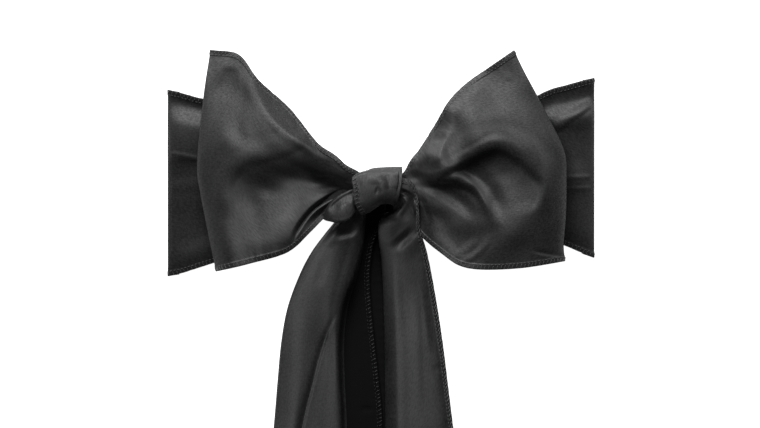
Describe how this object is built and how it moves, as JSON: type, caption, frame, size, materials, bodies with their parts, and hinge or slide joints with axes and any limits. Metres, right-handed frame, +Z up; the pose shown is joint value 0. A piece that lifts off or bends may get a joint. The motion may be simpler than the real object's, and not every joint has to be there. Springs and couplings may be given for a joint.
{
  "type": "satin chair sash tied in a bow",
  "caption": "Hemmed satin strip laid flat: a doubled band, tied in a bow with loops, a wrapped knot and long folded tails.",
  "frame": {"origin": "on the surface that the sash lies on, under the middle of the knot", "axes": "+X along the band towards the right loop, +Y from the tails' ends towards the loops' tips, +Z up from the surface"},
  "size_m": [0.3372, 0.6632, 0.0435],
  "materials": {
    "band": "charcoal black satin, soft sheen",
    "loops": "charcoal black satin, soft sheen",
    "knot": "charcoal black satin, soft sheen",
    "tails": "charcoal black satin, soft sheen"
  },
  "bodies": {
    "root": {"band_under": "band", "band_left": "band", "band_right": "band", "loop_left": "loops", "loop_right": "loops", "knot": "knot", "knot_lobe": "knot", "tail_left": "tails", "tail_right": "tails"}
  },
  "joints": []
}
